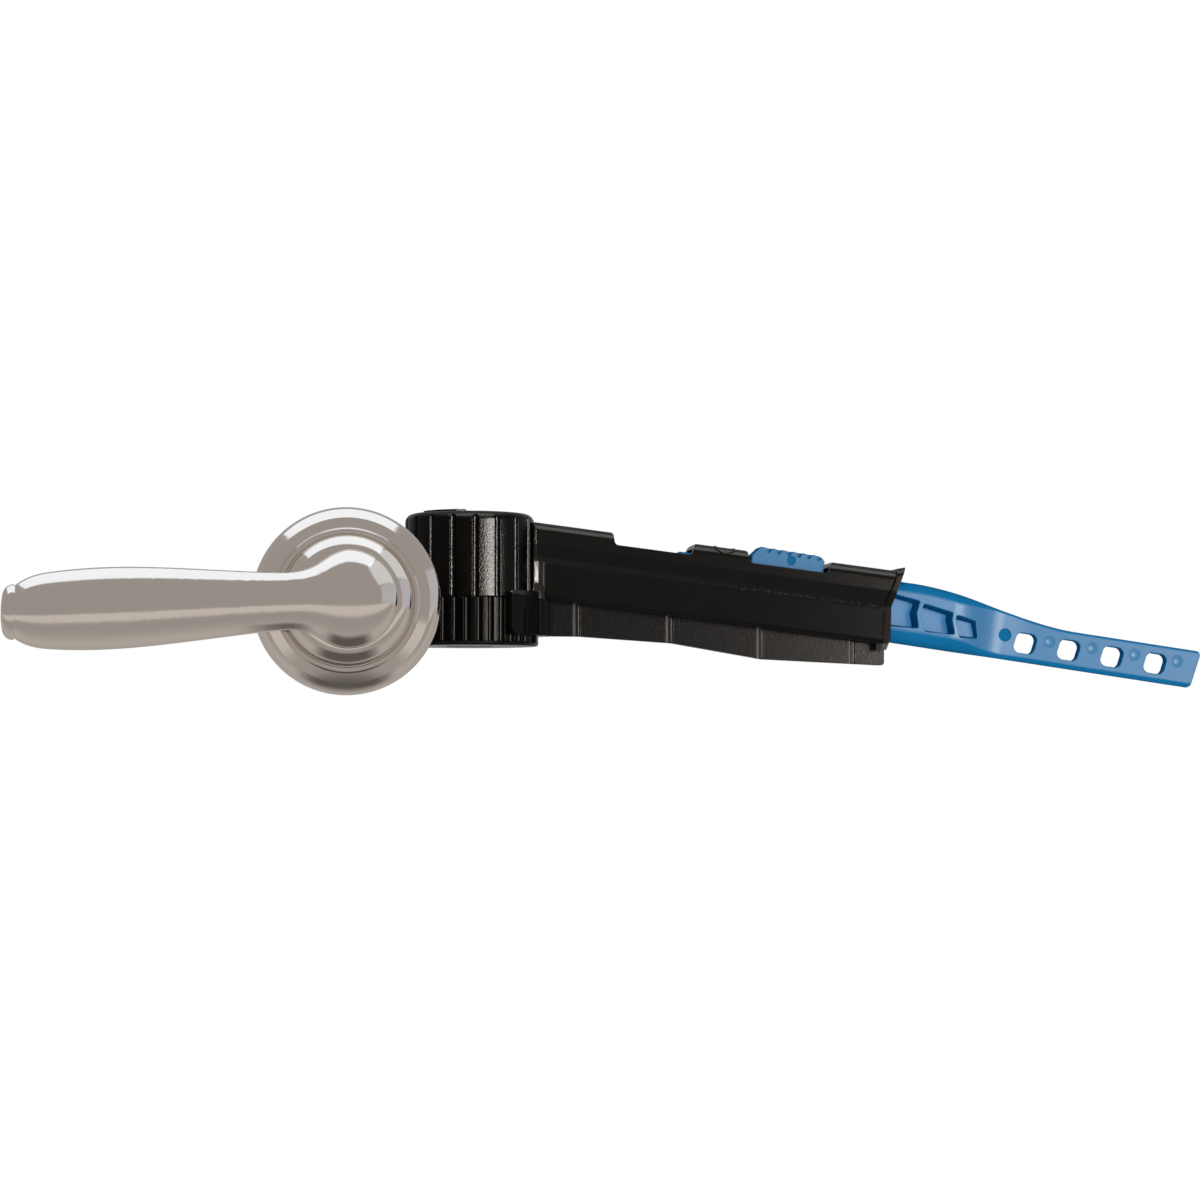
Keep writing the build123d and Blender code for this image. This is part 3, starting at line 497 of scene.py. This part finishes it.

# Knuckle hub and lock knob: glass-filled black mouldings with a satin skin.
# The knob clamps the arm on the toothed drum. Its flat top reflects nothing, and its matt grey is
# partly its finish and partly a painted sheen in place of those reflections.
# Grey of the knob's flat top: partly its matt finish, partly a painted sheen in place of reflections.
matt_top_sheen_tones = ((0.014, 0.0133, 0.0128), (0.022, 0.021, 0.02))
top_facing = 0.97
dress(black, "knuckle_hub")
knob_black = moulding("black_knob", *black_tones, **black_finish, depth=0.35)
tree = knob_black.node_tree
shader = tree.nodes["Principled BSDF"]
surface = tree.nodes["surface"]
plain = shader.inputs["Base Color"].links[0].from_socket
place = tree.nodes.new("ShaderNodeTexCoord")
facing_up = split_axes(tree, place.outputs["Normal"])["Z"]
flat_top = calc(tree, "GREATER_THAN", facing_up, top_facing)
# Painted sheen: the flat top takes a paler grey, and its shine is set to zero below.
matt = mixed(tree, surface.outputs["Speckle"], *matt_top_sheen_tones)
tree.links.new(mixed(tree, flat_top, plain, matt), shader.inputs["Base Color"])
satin = black_finish["specular"]
specular = calc(tree, "MULTIPLY_ADD", flat_top, -satin, satin)
tree.links.new(specular, shader.inputs["Specular IOR Level"])
dress(knob_black, "lock_knob")

# Arm: the same black moulding, one piece with the jaw round the drum and the disc below it. Its
# channel has a matt upper wall over a ledge with a painted speckled highlight, and a shiny corner
# at the drum. The fin below has a coarse grain, and ribs with a painted highlight on their left
# edges.
channel_slope = radians(7.18)
channel_foot = Vector((0.033395, 0.058, 0.005468))
channel_up = (sin(channel_slope), 0.0, cos(channel_slope))
lower_wall = (4.7 * mm, 4.75 * mm)
upper_wall = (11.8 * mm, 2.2 * mm)
upper_roughness = 0.22
ledge = (9.4 * mm, 0.4 * mm)
# Painted highlight along the ledge: where it fades in along the arm, and its pale tone.
ledge_highlight_reach = (75 * mm, 120 * mm)
ledge_highlight_tone = (0.06, 0.057, 0.055)
corner_to = 52.5 * mm
fin_from = 55.1 * mm
fin_top = -0.05 * mm
fin_tones = ((0.0018, 0.0017, 0.0017), (0.009, 0.0085, 0.0088))
fin_roughness = 0.03
fin_depth = 0.03
# Painted highlight on the left edges of the fin's ribs.
rib_edge_highlight_tone = (0.16, 0.152, 0.148)
rib_facing = (-0.05, -0.4)
arm_tones = ((0.004, 0.0036, 0.0033), (0.0065, 0.006, 0.0055))
arm_shine = 0.05
arm_depth = 0.05


def rounded_facing(tree):
    """The surface's normal, rounded at its edges, in the piece's own axes."""
    facing = tree.nodes.new("ShaderNodeVectorTransform")
    facing.vector_type = "NORMAL"
    facing.convert_from = "WORLD"
    facing.convert_to = "OBJECT"
    tree.links.new(tree.nodes["surface"].outputs["Rounded"], facing.inputs[0])
    return facing.outputs[0]


arm_black = moulding("black_arm", *arm_tones, **black_finish)
tree = arm_black.node_tree
shader = tree.nodes["Principled BSDF"]
surface = tree.nodes["surface"]
plain = shader.inputs["Base Color"].links[0].from_socket
place = tree.nodes.new("ShaderNodeTexCoord")
reach = split_axes(tree, place.outputs["Object"])["X"]
from_foot = vector_calc(tree, "SUBTRACT", place.outputs["Object"], channel_foot)["Vector"]
height = vector_calc(tree, "DOT_PRODUCT", from_foot, channel_up)["Value"]
lower = calc(tree, "COMPARE", height, *lower_wall)
upper = calc(tree, "COMPARE", height, *upper_wall)
top = calc(tree, "GREATER_THAN", height, sum(upper_wall))
corner = calc(tree, "MULTIPLY", lower, calc(tree, "LESS_THAN", reach, corner_to))
below = calc(tree, "LESS_THAN", height, fin_top)
fin = calc(tree, "MULTIPLY", below, calc(tree, "GREATER_THAN", reach, fin_from))
left_side = map_range(tree, split_axes(tree, rounded_facing(tree))["X"], *rib_facing)
# Painted highlight: a speckled pale line on the ledge, fading in towards the mouth.
painted_ledge_highlight = calc(tree, "COMPARE", height, *ledge)
painted_ledge_highlight = calc(tree, "MULTIPLY", painted_ledge_highlight, map_range(tree, reach, *ledge_highlight_reach))
painted_ledge_highlight = calc(tree, "MULTIPLY", painted_ledge_highlight, surface.outputs["Speckle"])
colour = mixed(tree, fin, plain, mixed(tree, surface.outputs["Speckle"], *fin_tones))
colour = mixed(tree, painted_ledge_highlight, colour, ledge_highlight_tone)
# Painted highlight: the ribs' left edges take a pale grey, while their shine is turned off below.
colour = mixed(tree, calc(tree, "MULTIPLY", fin, left_side), colour, rib_edge_highlight_tone)
tree.links.new(colour, shader.inputs["Base Color"])
roughness = calc(tree, "MULTIPLY_ADD", fin, fin_roughness, black_finish["roughness"])
roughness = calc(tree, "MULTIPLY_ADD", upper, upper_roughness, roughness)
tree.links.new(roughness, shader.inputs["Roughness"])
specular = arm_shine
for mask, more in ((fin, 0.17), (upper, -0.03), (corner, 0.34), (top, 0.04)):
    specular = calc(tree, "MULTIPLY_ADD", mask, more, specular)
quiet = calc(tree, "SUBTRACT", 1.0, calc(tree, "MULTIPLY", below, left_side))
tree.links.new(calc(tree, "MULTIPLY", specular, quiet), shader.inputs["Specular IOR Level"])
tree.links.new(calc(tree, "MULTIPLY_ADD", fin, fin_depth, arm_depth), surface.inputs["Depth"])
dress(arm_black, "arm")

# Extension and latch button: blue mouldings. The flat faces have a fine matt texture that scatters
# light; the rounded edges between them and the flat ejector marks are smooth and deeper in colour.
# The strip with the chain holes is duller than the body, with a shiny dent beside each hole. The
# pocket floors in the web get painted light, a paler blue set against their shade.
arm_slope = radians(8.35)
arm_foot = Vector((0.0335, 0.058, 0.00622))
arm_along = (cos(arm_slope), 0.0, -sin(arm_slope))
arm_up = (sin(arm_slope), 0.0, cos(arm_slope))
edge_roughness = 0.28
face_roughness = 0.06
face_shine = 0.075
face_facing = (0.82, 0.9)
face_tilt = (0.26, 0.13)
speck_fade = 0.25
dent_first = 154.8 * mm
dent_pitch = 11.85 * mm
dent_height = 9.0 * mm
dent_r = 1.5 * mm
dent_facing = 0.4
dent_blue = (0.055, 0.2, 0.385)
dent_shine = 0.12
dent_roughness = 0.1
strip_from = (144 * mm, 150 * mm)
strip_shine = 0.5
web_half = 1.3 * mm
# Painted light on the pocket floors in the web, paler than the faces.
pocket_floor_painted_light = (0.05, 0.212, 0.43)


def blue_moulding(name, deep, pale, mark, mark_r):
    """Blue with pale textured faces to front and back, painted light on the pocket floors, deep smooth
    edges and a smooth round mark.
    """
    deeper = [0.94 * channel for channel in deep]
    material = moulding(name, deeper, deep, edge_roughness, scale=2200.0, depth=0.15, edge=0.4)
    tree = material.node_tree
    shader = tree.nodes["Principled BSDF"]
    smooth = shader.inputs["Base Color"].links[0].from_socket
    place = tree.nodes.new("ShaderNodeTexCoord")
    facing = rounded_facing(tree)
    spot = vector_calc(tree, "SUBTRACT", place.outputs["Object"], arm_foot)["Vector"]
    tilt = vector_calc(tree, "DOT_PRODUCT", facing, arm_up)["Value"]
    height = vector_calc(tree, "DOT_PRODUCT", spot, arm_up)["Value"]
    along = vector_calc(tree, "DOT_PRODUCT", spot, arm_along)["Value"]
    depth = split_axes(tree, spot)["Y"]

    beside = calc(tree, "PINGPONG", calc(tree, "SUBTRACT", along, dent_first), dent_pitch / 2)
    above = calc(tree, "SUBTRACT", height, dent_height)
    off_dent = calc(tree, "MULTIPLY_ADD", above, above, calc(tree, "MULTIPLY", beside, beside))
    in_dent = calc(tree, "LESS_THAN", off_dent, dent_r**2)
    for limit in (
        calc(tree, "GREATER_THAN", along, dent_first - dent_r),
        calc(tree, "LESS_THAN", depth, 0.0),
    ):
        in_dent = calc(tree, "MULTIPLY", in_dent, limit)

    limits = [calc(tree, "MULTIPLY_ADD", in_dent, -dent_facing, limit) for limit in face_facing]
    upright = map_range(tree, calc(tree, "ABSOLUTE", split_axes(tree, facing)["Y"]), *limits)
    level = map_range(tree, calc(tree, "ABSOLUTE", tilt), *face_tilt)
    face = calc(tree, "MULTIPLY", upright, calc(tree, "MAXIMUM", level, in_dent))
    to_mark = vector_calc(tree, "DISTANCE", place.outputs["Object"], mark)["Value"]
    matt = calc(tree, "MULTIPLY", face, calc(tree, "GREATER_THAN", to_mark, mark_r))

    speckle = tree.nodes["surface"].outputs["Speckle"]
    texture = calc(tree, "MULTIPLY_ADD", speckle, -speck_fade, 1.0)
    # Painted light: the pocket floors in the web take a paler blue that offsets their shade.
    web_painted_light = calc(tree, "LESS_THAN", calc(tree, "ABSOLUTE", depth), web_half)
    faces = mixed(tree, in_dent, mixed(tree, web_painted_light, pale, pocket_floor_painted_light), dent_blue)
    colour = mixed(tree, calc(tree, "MULTIPLY", matt, texture), smooth, faces)
    tree.links.new(colour, shader.inputs["Base Color"])
    roughness = calc(tree, "MULTIPLY_ADD", matt, face_roughness, edge_roughness)
    roughness = calc(tree, "MULTIPLY_ADD", in_dent, dent_roughness, roughness)
    tree.links.new(roughness, shader.inputs["Roughness"])
    shine = map_range(tree, along, *strip_from, face_shine, face_shine * strip_shine)
    shine = calc(tree, "MULTIPLY_ADD", in_dent, dent_shine, calc(tree, "MULTIPLY", matt, shine))
    tree.links.new(shine, shader.inputs["Specular IOR Level"])
    return material


for name, deep, pale, mark, mark_r, piece in (
    (
        "blue_moulding",
        (0.007, 0.145, 0.335),
        (0.04, 0.17, 0.345),
        Vector((0.175893, 0.0567, -0.005583)),
        1.7 * mm,
        "extension",
    ),
    (
        "light_blue",
        (0.014, 0.145, 0.32),
        (0.024, 0.148, 0.32),
        Vector((0.117774, 0.0542, 0.013662)),
        1.2 * mm,
        "latch_button",
    ),
):
    dress(blue_moulding(name, deep, pale, mark, mark_r), piece)
